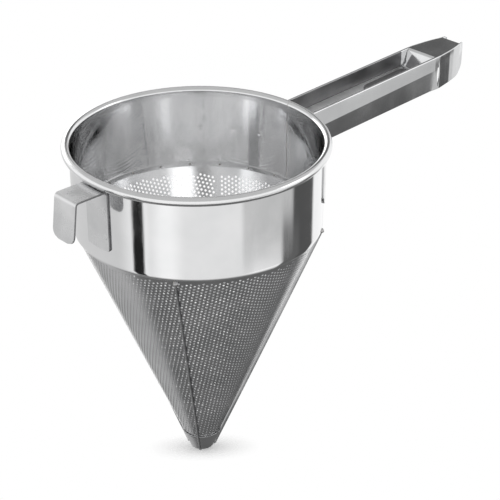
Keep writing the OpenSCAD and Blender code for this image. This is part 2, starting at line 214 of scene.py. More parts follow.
class Graph:
    """Short calls to build a node tree."""

    def __init__(self, tree):
        self.tree = tree

    def add(self, kind, **values):
        """A new node; names in lower case are its settings, the others its inputs."""
        n = self.tree.nodes.new(kind)
        for k, v in values.items():
            if k[0].isupper():
                self.put(v, n.inputs[k])
            else:
                setattr(n, k, v)
        return n

    def put(self, value, socket):
        if isinstance(value, bpy.types.NodeSocket):
            self.tree.links.new(value, socket)
        else:
            socket.default_value = value

    def math(self, op, a, b=0.0):
        n = self.add("ShaderNodeMath", operation=op)
        self.put(a, n.inputs[0])
        self.put(b, n.inputs[1])
        return n.outputs[0]

    def ramp(self, value, lo, hi, a, b, kind="LINEAR"):
        n = self.add("ShaderNodeMapRange", interpolation_type=kind, Value=value)
        for socket, v in zip(n.inputs[1:5], (lo, hi, a, b)):
            socket.default_value = v
        return n.outputs[0]

    def blend(self, share, a, b, out):
        """Mixes two shaders into an output's surface."""
        n = self.add("ShaderNodeMixShader")
        for value, socket in zip((share, a, b), n.inputs):
            self.put(value, socket)
        self.put(n.outputs[0], out.inputs["Surface"])


class Nodes(Graph):
    """A material with its main shader, textured in object coordinates."""

    def __init__(self, name):
        self.mat = bpy.data.materials.new(name)
        self.mat.use_nodes = True
        super().__init__(self.mat.node_tree)
        self.bsdf = self.tree.nodes["Principled BSDF"]
        self.coord = self.add("ShaderNodeTexCoord").outputs["Object"]

    def noise(self, scale, detail, stretch=(1, 1, 1)):
        m = self.add("ShaderNodeMapping", Vector=self.coord, Scale=stretch)
        return self.add("ShaderNodeTexNoise", Vector=m.outputs[0], Scale=scale, Detail=detail,
                        Roughness=0.5).outputs["Fac"]

    def mix(self, factor, a, b):
        n = self.add("ShaderNodeMix", data_type="RGBA")
        self.put(factor, n.inputs[0])
        self.put(a, n.inputs[6])
        self.put(b, n.inputs[7])
        return n.outputs[2]

    def bump(self, height, distance, strength, normal=None):
        n = self.add("ShaderNodeBump", Height=height, Distance=distance, Strength=strength)
        if normal is not None:
            self.put(normal, n.inputs["Normal"])
        return n.outputs[0]


def grey(level, blue=0.0):
    """A grey, with a touch of blue for steel."""
    return (level, level, level + blue, 1)


def steel(name, dark, light, rough_lo, rough_hi, wave=0.0, rim=0.0):
    """Stainless steel: smears of polish, fine hairlines and slow waves of the sheet, rougher at the rim."""
    n = Nodes(name)
    smear = n.noise(38, 4)
    hair = n.noise(1400, 2, (1, 1, 0.06))
    n.put(n.mix(n.ramp(smear, 0.3, 0.7, 0, 1), dark, light), n.bsdf.inputs["Base Color"])
    n.bsdf.inputs["Metallic"].default_value = 1.0
    rough = n.math("ADD", n.ramp(smear, 0.35, 0.7, rough_lo, rough_hi),
                   n.ramp(hair, 0.4, 0.8, 0, 0.035))
    if rim:
        height = n.add("ShaderNodeSeparateXYZ", Vector=n.coord).outputs[2]
        rough = n.math("ADD", rough, n.ramp(height, -0.0085, -0.0068, 0, rim))
    n.put(rough, n.bsdf.inputs["Roughness"])
    normal = n.bump(hair, 0.00001, 0.5)
    if wave:
        normal = n.bump(n.noise(14, 2), wave, 1.0, normal)
    n.put(normal, n.bsdf.inputs["Normal"])
    return n.mat


MIRROR = steel("polished_band", (0.73, 0.735, 0.74, 1), grey(0.79, 0.005), 0.04, 0.09,
               wave=0.00012, rim=0.1)
FORMED = steel("polished_handle", (0.66, 0.665, 0.67, 1), (0.77, 0.775, 0.78, 1), 0.07, 0.14,
               wave=0.00008)
HOOKED = steel("satin_hook", (0.62, 0.625, 0.63, 1), grey(0.74, 0.005), 0.2, 0.34, wave=0.0001)
SCREEN = steel("satin_screen", (0.58, 0.585, 0.59, 1), grey(0.7, 0.005), 0.1, 0.2, wave=0.0001)
STRAPS = steel("satin_strap", (0.5, 0.505, 0.51, 1), grey(0.66, 0.005), 0.18, 0.3)
# Dark steel: painted shade on the straps' side faces
SHADED_SIDES = steel("painted_shade_side", grey(0.1, 0.005), grey(0.19, 0.005), 0.3, 0.45)
# Near-white steel: painted light on the trough's floor
LIT_TRAY = steel("painted_light_trough_floor", grey(0.93), grey(0.98), 0.42, 0.55)
# Dark steel: painted shade inside the handle and on the hook's edges
SHADE_STEEL = steel("painted_shade_steel", grey(0.16, 0.005), grey(0.3, 0.005), 0.34, 0.5)
SPOTS = steel("spot_weld_print", (0.64, 0.645, 0.65, 1), grey(0.74, 0.005), 0.1, 0.2)
CAPPED = steel("worn_cap", (0.5, 0.505, 0.51, 1), grey(0.66, 0.005), 0.18, 0.32, wave=0.0003)


def weld_material():
    """Dull, lumpy weld metal with warmer patches."""
    n = Nodes("weld_metal")
    lumps = n.noise(900, 3)
    tint = n.noise(160, 2)
    colour = n.mix(n.ramp(tint, 0.4, 0.65, 0, 1), grey(0.42, 0.005), (0.6, 0.58, 0.55, 1))
    n.put(colour, n.bsdf.inputs["Base Color"])
    n.bsdf.inputs["Metallic"].default_value = 1.0
    n.put(n.ramp(lumps, 0.3, 0.7, 0.28, 0.5), n.bsdf.inputs["Roughness"])
    n.put(n.bump(lumps, 0.0002, 0.7), n.bsdf.inputs["Normal"])
    return n.mat


WELD = weld_material()


# Camera, fitted to the photograph

cam = bpy.data.objects.new("Camera", bpy.data.cameras.new("Camera"))
SCENE.collection.objects.link(cam)
cam.location = (-0.69984, -0.79954, 0.49339)
cam.rotation_euler = (math.radians(60.917), math.radians(-0.061), math.radians(-43.337))
cam.data.sensor_width = 36
cam.data.lens = 111.065
cam.data.clip_start = 0.05
cam.data.clip_end = 50
SCENE.camera = cam


# Band: one sheet with its curled bead, dimpled where the spot welds are

def handle_spots():
    return [(s * a, SPOT_Z) for s in (-1, 1) for a in SPOT_ANGLES]


def hook_spots():
    return [(180 + s * HOOK_SPOT_ANGLE, z) for s in (-1, 1) for z in HOOK_SPOT_Z]


def cone_spots():
    return [((k + 0.5) * 360 / CONE_SPOTS, CONE_SPOT_Z) for k in range(CONE_SPOTS)]


def band():
    """The sheet's profile turned round the axis: up inside, over the bead and its curl, down outside."""
    inner = [(BAND_R_IN + 0.25, -BAND_H), (BAND_R_IN, -BAND_H + 0.3)]
    rows = [CONE_SPOT_Z, SPOT_Z, *HOOK_SPOT_Z]
    z = -BAND_H + 0.8
    while z < -BEAD_R - 0.6:
        inner.append((BAND_R_IN, z))
        z += 0.65 if any(abs(z + 0.3 - row) < 3.2 for row in rows) else 2.4  # finer at the dimples
    outer_arc = arc(BEAD_C, -BEAD_R, BEAD_R, 180, -124, 30)
    curl = arc(BEAD_C, -BEAD_R, BEAD_R - 1, -142, 176, 20)
    down = [(BAND_R, -BEAD_R - 1 - k * (BAND_H - BEAD_R - 1.5) / 24) for k in range(25)]
    down += [(BAND_R - 0.12, -BAND_H + 0.15), (BAND_R - 0.35, -BAND_H)]
    profile = inner + outer_arc + curl + down
    verts, faces = lathe(profile, 540)
    marks = [(a, z, DENT_R) for a, z in handle_spots() + hook_spots()]
    marks += [(a, z, CONE_DENT_R) for a, z in cone_spots()]
    moved = []
    for x, y, z in verts:
        r, a = math.hypot(x, y), math.degrees(math.atan2(y, x))
        if r < BAND_R + 0.01 and z < -10:
            push = 0.0
            for ma, mz, mr in marks:
                du = (a - ma + 180) % 360 - 180
                d = math.hypot(math.radians(du) * BAND_R, z - mz)
                if d < mr * 2:
                    push += DENT * math.exp(-(d / mr) ** 2 * 1.6)
            r2 = r + push if r < BAND_R - 0.5 else r - push * 0.5
            x, y = x * r2 / r, y * r2 / r
        moved.append((x, y, z))
    outward(make("band_sheet", (moved, faces), MIRROR, "band", 50))


def ridge(path, normals, width, height):
    """A low rounded bead of weld along a path."""
    sides = 12
    sections = []
    for i, (p, n) in enumerate(zip(path, normals)):
        t = Vector(path[min(i + 1, len(path) - 1)]) - Vector(path[max(i - 1, 0)])
        n = Vector(n).normalized()
        side = t.cross(n).normalized()
        wob = 1 + 0.18 * math.sin(i * 2.1) + 0.1 * math.sin(i * 5.3)
        ring = []
        for k in range(sides):
            a = 2 * math.pi * k / sides
            ring.append(tuple(Vector(p) + side * (width / 2 * math.cos(a) * wob)
                              + n * (height * math.sin(a))))
        sections.append(ring)
    return loft(sections)


def band_seam():
    """The weld along the butt joint behind the handle: inside, outside and over the bead."""
    zs = [-BAND_H + 0.4 + k * (BAND_H - 8.6) / 60 for k in range(61)]
    parts = [ridge([(r, 0, z) for z in zs], [(sign, 0, 0)] * len(zs), 0.7, 0.09)
             for r, sign in ((BAND_R_IN, -1), (BAND_R, 1))]
    angles = range(178, -60, -8)
    bead = [(x, 0, z) for x, z in around(BEAD_C, -BEAD_R, BEAD_R, angles)]
    normals = [(x, 0, z) for x, z in around(0, 0, 1, angles)]
    parts.append(ridge(bead, normals, 0.55, 0.06))
    make("band_seam_weld", merge(*parts), WELD, "band_seam", 60)


# Cone: the real sheet's staggered holes, laid out flat, then rolled

HOLE_R, PITCH = 1.0, 3.5
COLS_AZ = -109.0  # where the holes' columns run straight down
CENTRE_AZ = STRAP_TURN - 180  # the flat sheet's middle, opposite the seam
SIN_C, COS_C = math.sin(CONE_ANGLE), math.cos(CONE_ANGLE)
RHO0, RHO1 = CONE_END_R / SIN_C, CONE_TOP_R / SIN_C
HALF_SECTOR = math.pi * SIN_C
BORDER_BACK, BORDER_FRONT, BORDER_LOW, BORDER_SEAM = 7.0, 3.2, 16.0, 1.9  # plain edges


def below_face(rho, depth):
    """Radius and height at a distance from the apex, depth below the outer face."""
    return rho * SIN_C - depth * COS_C, APEX_Z + rho * COS_C + depth * SIN_C


def rolled(rho, theta, depth):
    """The point of the rolled sheet for one of the flat sheet."""
    az = math.radians(CENTRE_AZ) + theta / SIN_C
    r, z = below_face(rho, depth)
    return (r * math.cos(az), r * math.sin(az), z)


def pierced(rho, theta):
    """Whether the sheet has holes here, and not one of its plain edges."""
    share = (1 - math.cos(theta / SIN_C)) / 2
    border = BORDER_FRONT + (BORDER_BACK - BORDER_FRONT) * share
    return (RHO0 + BORDER_LOW < rho < RHO1 - border
            and (HALF_SECTOR - abs(theta)) * rho > BORDER_SEAM)


class Sheet:
    """A part of the rolled sheet, whose cells share their points."""

    def __init__(self):
        self.verts, self.faces, self.seen = [], [], {}

    def point(self, rho, theta, depth):
        key = (round(rho, 4), round(theta, 6), depth)
        if key not in self.seen:
            self.seen[key] = len(self.verts)
            self.verts.append(rolled(rho, theta, depth))
        return self.seen[key]

    def both_sides(self, points):
        return [[self.point(r, t, depth) for r, t in points] for depth in (0.0, CONE_T)]

    def cell(self, corners, hole):
        """Six corners, and the twelve points of its hole if it has one."""
        out, back = self.both_sides(corners)
        if not hole:
            self.faces += [tuple(reversed(out)), tuple(back)]
            return
        hole_out, hole_back = self.both_sides(hole)
        for k in range(6):
            k2, near, mid, far = (k + 1) % 6, 2 * k + 1, (2 * k + 2) % 12, (2 * k + 3) % 12
            self.faces.append((hole_out[near], hole_out[mid], hole_out[far], out[k2], out[k]))
            self.faces.append((back[k], back[k2], hole_back[far], hole_back[mid], hole_back[near]))
        for k in range(12):
            k2 = (k + 1) % 12
            self.faces.append((hole_out[k2], hole_out[k], hole_back[k], hole_back[k2]))

    def mesh(self):
        """Its points and faces, without corners that fell together at the sheet's edge."""
        faces = []
        for f in self.faces:
            g = [v for k, v in enumerate(f) if v != f[k - 1]]
            if len(set(g)) >= 3:
                faces.append(tuple(g))
        return self.verts, faces


def screen():
    """Six-sided cells over the flat sheet, in four quarters, and the plain collar above them."""
    turn = math.radians(COLS_AZ - CENTRE_AZ) * SIN_C
    ct, st = math.cos(turn), math.sin(turn)
    corners = around(0, 0, PITCH / math.sqrt(3), range(30, 390, 60))
    ring = around(0, 0, HOLE_R, range(0, 360, 30))
    quarters = [Sheet() for _ in range(4)]
    n = int(RHO1 / PITCH) + 2

    def polar(u, v):
        x, y = u * ct - v * st, u * st + v * ct
        return math.hypot(x, y), math.atan2(y, x)

    for i in range(-2, n + 2):
        for j in range(-n * 2, n * 2 + 1):
            u0 = (i + (0.5 if j % 2 else 0.0)) * PITCH
            v0 = j * PITCH * math.sqrt(3) / 2
            rho, theta = polar(u0, v0)
            if not (RHO0 - PITCH <= rho <= RHO1 + PITCH
                    and abs(theta) <= HALF_SECTOR + PITCH / max(rho, 1)):
                continue
            points = [polar(u0 + a, v0 + b) for a, b in corners]
            inside = sum(RHO0 < r < RHO1 and abs(t) < HALF_SECTOR for r, t in points)
            if not inside:
                continue
            flat = [(min(max(r, RHO0), RHO1), min(max(t, -HALF_SECTOR), HALF_SECTOR)) for r, t in points]
            hole = []
            if inside == 6 and pierced(rho, theta):
                hole = [polar(u0 + a, v0 + b) for a, b in ring]
            quarter = int((theta + HALF_SECTOR) / (HALF_SECTOR / 2))
            quarters[min(3, max(0, quarter))].cell(flat, hole)
    names = ("screen_front_left", "screen_front_right", "screen_back_right", "screen_back_left")
    for name, quarter in zip(names, quarters):
        make(name, quarter.mesh(), SCREEN, "cone_screen", 40)
    r_out, r_in, foot = CONE_TOP_R, CONE_TOP_R - CONE_T, -BAND_H
    profile = [(r_out, foot - 0.05), (r_out, foot + 3.8), (r_out - 0.2, foot + 4), (r_in + 0.2, foot + 4),
               (r_in, foot + 3.8), (r_in, foot + 0.5), (r_in - 0.1, foot)]
    outward(make("screen_collar", lathe(profile, 360), SCREEN, "cone_screen", 40))


def cone_seam():
    """A weld bead outside and a flat, dressed one inside."""
    c, s = math.cos(math.radians(STRAP_TURN)), math.sin(math.radians(STRAP_TURN))
    parts = []
    for depth, sign, width, height in ((0.0, 1, 1.1, 0.1), (CONE_T, -1, 0.5, 0.04)):
        path = []
        for k in range(181):
            r, z = below_face(RHO0 + 0.5 + (RHO1 - RHO0 - 1) * k / 180, depth)
            path.append((r * c, r * s, z))
        normal = (sign * COS_C * c, sign * COS_C * s, -sign * SIN_C)
        parts.append(ridge(path, [normal] * len(path), width, height))
    ob = make("cone_seam_weld", merge(*parts), WELD, "cone_seam", 60)
    outer_faces = len(parts[0][1])
    paint(ob, SCREEN, lambda poly: poly.index >= outer_faces)


# Tip cap: a cup over the cone's end with a worn blunt point

def nose(a, r, drop):
    """From the side (90 degrees) to the point of the tip: between an arc and a straight slope."""
    sn, cs = math.sin(math.radians(a)), math.cos(math.radians(a))
    return r * sn, -drop * (0.45 * cs + 0.55 * (1 - sn))


def tip_cap():
    top_z, slope = CONE_END_Z + CAP_LAP, math.tan(CONE_ANGLE)
    nose_r = CONE_END_R + CAP_T + CAP_GAP
    outer = [(nose_r + slope * (CAP_LAP - 0.3), top_z - 0.1),
             (nose_r + slope * (CAP_LAP - 0.5), top_z - 0.5)]
    outer += [(nose_r + slope * k, CONE_END_Z + k) for k in (14, 11, 8, 5, 2)]
    for a in range(90, 0, -9):
        r, z = nose(a, nose_r, CAP_DROP)
        outer.append((r, CONE_END_Z + z))
    outer += [(0.05, CONE_END_Z - CAP_DROP)]
    inner_r = cone_r(top_z) + CAP_GAP
    inner = [(0.05, CONE_END_Z - CAP_DROP + CAP_T), (CONE_END_R * 0.6, CONE_END_Z - 1.3),
             (CONE_END_R + CAP_GAP, CONE_END_Z), (inner_r, top_z - 0.25), (inner_r + 0.25, top_z),
             (nose_r + slope * CAP_LAP - 0.3, top_z)]
    outward(make("tip_cap_shell", lathe(outer + inner, 120), CAPPED, "tip_cap", 42))


# Straps: strips on edge, down one side, round the tip and up the other

def strap(name, node, turn, under):
    """Where the two straps cross under the tip, each has half its depth; under takes the lower half."""
    out = STRAP_PROUD / COS_C
    bz = CONE_END_Z + 2
    bx = cone_r(bz) + out
    top_z = -BAND_H - 4.6
    outline = []
    steps = 60
    for k in range(steps + 1):
        z = top_z + (bz - top_z) * k / steps
        outline.append((cone_r(z) + out + 0.25 * math.sin(k / steps * math.pi), z, cone_r(z) + 0.02, z))
    for a in (82, 74, 66, 58, 50, 42, 34, 26, 18, 11, 6, 3.1, 2.8, 0):
        ox, oz = nose(a, bx, bz - LOWEST_Z)
        ix, iz = nose(a, CONE_END_R + 1.0, CAP_DROP)
        outline.append((ox, bz + oz, ix, CONE_END_Z + iz))
    full = outline + [(-a, b, -c, d) for a, b, c, d in reversed(outline[:-1])]
    c, s = math.cos(math.radians(turn)), math.sin(math.radians(turn))
    h = STRAP_T / 2
    sections = []
    for ox, oz, ix, iz in full:
        if abs(ox) < 0.72:
            if under:
                ix, iz = ox, (oz + iz) / 2 - 0.05
            else:
                ox, oz = ix, (oz + iz) / 2 + 0.05
        ring = [(ox, -h + 0.15, oz), (ox, h - 0.15, oz)]
        mx, mz = ox + (ix - ox) * 0.06, oz + (iz - oz) * 0.06
        ring += [(mx, h, mz), (ix, h, iz), (ix, -h, iz), (mx, -h, mz)]
        sections.append([(x * c - y * s, x * s + y * c, z) for x, y, z in ring])
    ob = make(name, loft(sections), STRAPS, node, 50)
    outward(ob)
    if not under:
        # The front-back strap's side faces get painted shade
        paint(ob, SHADED_SIDES, lambda poly: abs(poly.normal.y * c - poly.normal.x * s) > 0.9)


def blob(p, size, seed):
    """A lump of weld."""
    rings, cols = 8, 14
    verts = []
    for i in range(rings + 1):
        a = math.pi * i / rings
        for j in range(cols):
            b = 2 * math.pi * j / cols
            w = 1 + 0.08 * math.sin(3 * b + seed) * math.sin(a) + 0.06 * math.sin(5 * a + seed * 2)
            verts.append((p[0] + size * w * math.sin(a) * math.cos(b),
                          p[1] + size * w * math.sin(a) * math.sin(b),
                          p[2] + size * w * math.cos(a)))
    return verts, grid_faces(rings + 1, cols, flip=True)


def strap_welds():
    """A bead at the top of each arm."""
    parts = []
    z = -BAND_H - 2.3
    for k in range(4):
        a = math.radians(STRAP_TURN + 90 * k)
        r = cone_r(z) + 1.5
        parts.append(blob((r * math.cos(a), r * math.sin(a), z), 2.05, k * 1.7))
    make("strap_weld_beads", merge(*parts), WELD, "strap_welds", 60)


# Handle: section by section, then the slot and the slits are cut; x runs along it

def half_width(x):
    if x <= KINK_X:
        return HALF_W
    for (x0, w0), (x1, w1) in zip(TAPER, TAPER[1:]):
        if x <= x1:
            return w0 + (w1 - w0) * (x - x0) / (x1 - x0)
    return TAPER[-1][1]


def lean(x):
    """How far the skirts' lower edge leans in."""
    return 1.5 * smooth((x - 101) / 22) * (1 - smooth((x - 252) / 12))


def low_z(x):
    """The skirts' lower edge: down to the wings at the band, rounded up at the free end."""
    low = edge_z(x) - SKIRT
    if x > KINK_X:
        low = edge_z(x) - SKIRT + 2.0 * (x - KINK_X) / (HANDLE_END - KINK_X)
    if x < 126:
        t = smooth((x - BEND_X) / 24)
        low = (PLATE_TOP - WING_H) * (1 - t) + low * t
    r = 11
    if x > HANDLE_END - r:
        q = min(1.0, (x - (HANDLE_END - r)) / r)
        low += r - r * math.sqrt(max(0.0, 1 - q * q))
    return low


def ramp_share(x):
    """Height of the ramp from the trough's floor to the closed top: straight, with soft ends."""
    t = (x - 249.2) / 9.0
    if t <= 0.0:
        return 0.0
    if t >= 1.0:
        return 1.0
    soft = 0.36
    if t < soft:
        return t * t / (2 * soft * (1 - soft))
    if t > 1 - soft:
        return 1 - (1 - t) ** 2 / (2 * soft * (1 - soft))
    return (t - soft / 2) / (1 - soft)


def handle_section(x):
    """The folded sheet across the handle: skirts, folded edges, trough walls and floor."""
    w, e = half_width(x), edge_z(x)
    depth = TROUGH * (1 - ramp_share(x))
    t = WING_T
    low, ln = low_z(x), lean(x)
    a = min(EDGE_R, depth / 2)
    b = min(FLOOR_R, depth / 2)
    floor = e - depth
    crease = max(e - 14.8 + 3.0 * min(1.0, (x - 99) / 150), low + 1.0)  # below it the skirts lean in
    half = [(w - ln, low), (w - ln * 0.5, (low + crease) / 2),
            (w - ln * 0.3 / (crease - low), crease - 0.3), (w, crease), (w, crease + 0.3),
            (w, (crease + e) / 2), (w, e - EDGE_R)]
    half += around(w - EDGE_R, e - EDGE_R, EDGE_R, (22, 45, 68, 90))
    for ang in (90, 112, 135, 158, 180):
        ra = math.radians(ang)
        half.append((w - LIP + EDGE_R + EDGE_R * math.cos(ra), e - a + a * math.sin(ra)))
    half += [(w - LIP, (e - a) + ((floor + b) - (e - a)) * s) for s in (0.33, 0.66)]
    half += around(w - LIP + b, floor + b, b, (180, 202, 225, 248, 270))
    half += [((w - LIP - b) * s, floor) for s in (0.8, 0.5, 0.25)]
    under = floor - t
    bend = min(crease, under)
    inner = [(0.0, under), ((w - t) * 0.5, under), (w - t, under), (w - t, min(crease, under - 0.3)),
             (w - ln * 0.5 - t, (low + bend) / 2), (w - ln - t, low)]
    mirrored = [(-y, z) for y, z in half[::-1]]
    ring = half + [(0.0, floor)] + mirrored + [(-y, z) for y, z in inner[:0:-1]] + inner
    return [(x, y, z) for y, z in ring]


def skirt_ring(x, y_out, y_in, low, high):
    r = 0.35
    near_out, near_in = (y_out * 3 + y_in) / 4, (y_out + y_in * 3) / 4
    return [(x, y_out, low + r), (x, y_out, high - r), (x, near_out, high), (x, near_in, high),
            (x, y_in, high - r), (x, y_in, low + r), (x, near_in, low), (x, near_out, low)]


def wing_strip(sign):
    """Skirt end, bend and wing as one strip, from the straight skirt to the wing's free end."""
    r_mid, h = SHEET_R + WING_T / 2, WING_T / 2
    plan = [(102.4, HALF_W - h, 0, -1)]
    end_a = math.degrees(math.atan2(BEND_Y, BEND_X))
    for a in np.linspace(-90, -180 + end_a, 14):
        c, s = math.cos(math.radians(a)), math.sin(math.radians(a))
        plan.append((BEND_X + BEND_R * c, BEND_Y + BEND_R * s, c, s))
    for a in [*np.linspace(end_a + 0.8, WING_SPAN - 4.4, 44), *np.linspace(WING_SPAN - 4.2, WING_SPAN, 14)]:
        c, s = math.cos(math.radians(a)), math.sin(math.radians(a))
        plan.append((r_mid * c, r_mid * s, -c, -s))
    sections = []
    for x, y, nx, ny in plan:
        ang = math.degrees(math.atan2(y, x))
        top, low = PLATE_TOP, PLATE_TOP - WING_H
        if x > 101:
            top = edge_z(x)
        left = math.radians(WING_SPAN - ang) * r_mid
        if left < WING_CORNER:
            q = WING_CORNER - max(left, 0.0)
            cut = WING_CORNER - math.sqrt(max(0.0, WING_CORNER ** 2 - q * q))
            top, low = top - cut, low + cut
        ring = []
        for off, z in ((h, low + 0.3), (h, top - 0.3), (h * 0.5, top), (-h * 0.5, top), (-h, top - 0.3),
                       (-h, low + 0.3), (-h * 0.5, low), (h * 0.5, low)):
            ring.append((x + nx * off, sign * (y + ny * off), z))
        sections.append(ring)
    v, f = loft(sections)
    if sign > 0:
        f = [tuple(reversed(face)) for face in f]
    return v, f


def cutter(outline, lo, hi, axis):
    """A prism over an outline, along z or y."""
    n = len(outline)
    if axis == "z":
        verts = [(x, y, lo) for x, y in outline] + [(x, y, hi) for x, y in outline]
    else:
        verts = [(x, lo, z) for x, z in outline] + [(x, hi, z) for x, z in outline]
    faces = [tuple(range(n)), tuple(range(2 * n - 1, n - 1, -1))]
    faces += [(k, k + n, (k + 1) % n + n, (k + 1) % n) for k in range(n)]
    ob = linked("cutter", verts, faces)
    outward(ob)
    return ob


def slot_outline():
    """The hanging slot: round towards the band, with small corners at the ramp."""
    x0, x1, hw, r = 191.0, 249.0, 12.0, 5.0
    pts = arc(x0 + hw, 0, hw, 90, 270, 28)
    pts += arc(x1 - r, -hw + r, r, -90, 0, 8)
    pts += arc(x1 - r, hw - r, r, 0, 90, 8)
    return pts


def slit_outline():
    """The lens-shaped slit in each skirt behind the kink."""
    half_len, half_w, cx = 12.5, 1.7, 262.0
    mid = edge_z(KINK_X) - 3 - half_len
    sides = [(-1, -1 + 2 * k / 20) for k in range(21)] + [(1, -1 + 2 * k / 20) for k in range(19, 0, -1)]
    return [(cx + sign * half_w * (1 - t * t), mid + half_len * t) for sign, t in sides]


def subtract(ob, *tools):
    """Cuts the tools out of the object and removes them."""
    for tool in tools:
        mod = ob.modifiers.new("Cut", "BOOLEAN")
        mod.operation = "DIFFERENCE"
        mod.solver = "EXACT"
        mod.object = tool
    apply_modifiers(ob)
    for tool in tools:
        bpy.data.objects.remove(tool)


def paint_handle(ob):
    """The trough's walls, the floor's underside and the skirts' insides get painted shade, its floor gets
    painted light.
    """
    def place(poly):
        x, y, z = (c / MM for c in poly.center)
        return x, abs(y), z, poly.normal.y * (1 if y > 0 else -1), half_width(x) - WING_T

    def in_shade(poly):
        x, y, z, outwards, half = place(poly)
        under = edge_z(x) - TROUGH * (1 - ramp_share(x)) - WING_T * 0.4
        if z > under:
            return outwards < -0.8 and x < TROUGH_END
        return z < under and (outwards < -0.3 or (poly.normal.z < -0.3 and y < half - lean(x)))

    def in_light(poly):
        x, y, z, _, half = place(poly)
        level = z < edge_z(x) - 3 and poly.normal.z > 0.8 and y < half - 0.2
        return level and x < TROUGH_END and not in_shade(poly)

    # Painted shade on the walls, undersides and skirt insides, painted light on the trough's floor
    paint(ob, SHADE_STEEL, in_shade)
    paint(ob, LIT_TRAY, in_light)


def handle():
    """The tray with its slot and slits, the ears past its closed end, and the wings."""
    xs = [*np.linspace(99.6, 126, 15), *np.linspace(130, TROUGH_END, 32), *np.linspace(248.6, 261.5, 34),
          *np.linspace(263.5, CLOSED_END, 30)]
    ob = make("handle_tray", loft([handle_section(float(x)) for x in xs]), FORMED,
              "handle", 32)
    outward(ob)
    subtract(ob, cutter(slot_outline(), -30, 5, "z"), cutter(slit_outline(), -40, 40, "y"))
    shade(ob, 32)
    paint_handle(ob)
    ears = []
    for sign in (-1, 1):
        sections = []
        for x in np.linspace(CLOSED_END, HANDLE_END, 14):
            x = float(x)
            w = half_width(x)
            high = edge_z(x) - (0 if x < 299 else 0.5 * ((x - 299) / 2) ** 2)
            sections.append(skirt_ring(x, sign * w, sign * (w - WING_T), low_z(x), high))
        ears.append(loft(sections))
    wings = [wing_strip(s) for s in (-1, 1)]
    outward(make("handle_ears", merge(*ears), FORMED, "handle", 40))
    outward(make("handle_wings", merge(*wings), FORMED, "handle", 40))


# Spot welds

def disc(angle, r, z, size, rise, sign):
    """A shallow spot-weld print on a cylinder: a ring with a dished middle."""
    profile = [(0.0, -0.02), (0.45, 0.0), (0.75, rise), (0.92, rise * 0.9), (1.02, -0.1)]
    verts = []
    cols = 28
    for q, h in profile:
        for j in range(cols):
            b = 2 * math.pi * j / cols
            a = math.radians(angle) + size * q * math.cos(b) / r
            rr = r + sign * h
            verts.append((rr * math.cos(a), rr * math.sin(a), z + size * q * math.sin(b)))
    return verts, grid_faces(len(profile), cols, flip=sign > 0)


def spot_prints(name, spots, r_out, rise, node):
    """Prints on an outer sheet, and their smaller marks inside the band."""
    parts = []
    for a, z in spots:
        parts.append(disc(a, r_out, z, 2.0, rise, 1))
        parts.append(disc(a, BAND_R_IN + 0.24, z, 1.1, 0.08, -1))
    make(name, merge(*parts), SPOTS, node, 60)


def cone_welds():
    """The spot welds' marks inside the cone's collar."""
    r = CONE_TOP_R - CONE_T / COS_C + 0.02
    parts = [disc(a, r, z, 1.0, 0.08, -1) for a, z in cone_spots()]
    make("cone_spot_welds", merge(*parts), WELD, "cone_welds", 60)


# Hook: one strip, bent round the band, out, and down

def hook():
    """The path down the strip's middle is of radius, height and the angle of its outer side."""
    t, top = HOOK_T, HOOK_TOP
    root_x, root_z = SHEET_R + t + ROOT_R, top - t - ROOT_R
    fold_x = BAND_R + HOOK_REACH - FOLD_R - t
    low = top - HOOK_PLATE
    path = [(SHEET_R + t / 2, float(z), 180.0)
            for z in [*(low + k * 0.4 for k in range(7)), *np.linspace(low + 4, root_z, 26)]]
    angles = (165, 150, 135, 120, 105, 90)
    path += [(x, z, a) for (x, z), a in zip(around(root_x, root_z, ROOT_R + t / 2, angles), angles)]
    path += [(float(x), top - t / 2, 90.0) for x in np.linspace(root_x + 1.5, fold_x, 12)]
    angles = [float(a) for a in np.linspace(80, HOOK_TILT, 9)]
    fold = around(fold_x, top - t - FOLD_R, FOLD_R + t / 2, angles)
    path += [(x, z, a) for (x, z), a in zip(fold, angles)]
    lx, lz = fold[-1]
    length, tilt = HOOK_DROP - FOLD_R - t, math.radians(HOOK_TILT)
    for k in range(1, 23):
        d = length * k / 22
        path.append((lx + d * math.sin(tilt), lz - d * math.cos(tilt), HOOK_TILT))
    run = [0.0]
    for p, q in zip(path, path[1:]):
        run.append(run[-1] + math.hypot(q[0] - p[0], q[1] - p[1]))
    sections = []
    for (r, z, a), d in zip(path, run):
        left, corner = (d, PLATE_CORNER) if d < run[-1] - d else (run[-1] - d, TIP_CORNER)
        w = HOOK_HALF_W
        if left < corner:
            w = HOOK_HALF_W - corner + math.sqrt(max(0.0, corner ** 2 - (corner - left) ** 2))
        nx, nz = math.cos(math.radians(a)), math.sin(math.radians(a))
        flat = smooth((r - root_x) / 8)  # the plate follows the band's curve, the arm is flat
        ring = []
        for side in (1, -1):
            for share in (-1, -0.98, -0.66, -0.33, 0, 0.33, 0.66, 0.98, 1):
                y = w * share * side
                off = side * (t / 2 - (0.25 if abs(share) == 1 else 0))
                rr = r + nx * off
                bow = rr - math.sqrt(rr * rr - y * y)
                ring.append((-(rr - bow * (1 - flat)), y, z + nz * off))
        sections.append(ring)
    ob = make("hook_strip", loft(sections), HOOKED, "hook", 40)
    outward(ob)
    edge = (HOOK_HALF_W - 0.3) * MM
    # The strip's side edges get painted shade
    paint(ob, SHADE_STEEL, lambda poly: abs(poly.normal.y) > 0.6 and abs(poly.center.y) > edge)


band()
band_seam()
screen()
cone_seam()
tip_cap()
strap("strap_left_right", "guard_strap_b", STRAP_TURN + 90, True)
strap("strap_front_back", "guard_strap_a", STRAP_TURN, False)
strap_welds()
handle()
spot_prints("handle_spot_welds", handle_spots(), SHEET_R + WING_T - 0.05, 0.08, "handle_welds")
hook()
spot_prints("hook_spot_welds", hook_spots(), SHEET_R + HOOK_T - 0.03, 0.06, "hook_welds")
cone_welds()


# Studio: a soft white tent with dark gaps, drawn in the world by direction

BASE_LIGHT = 1.1
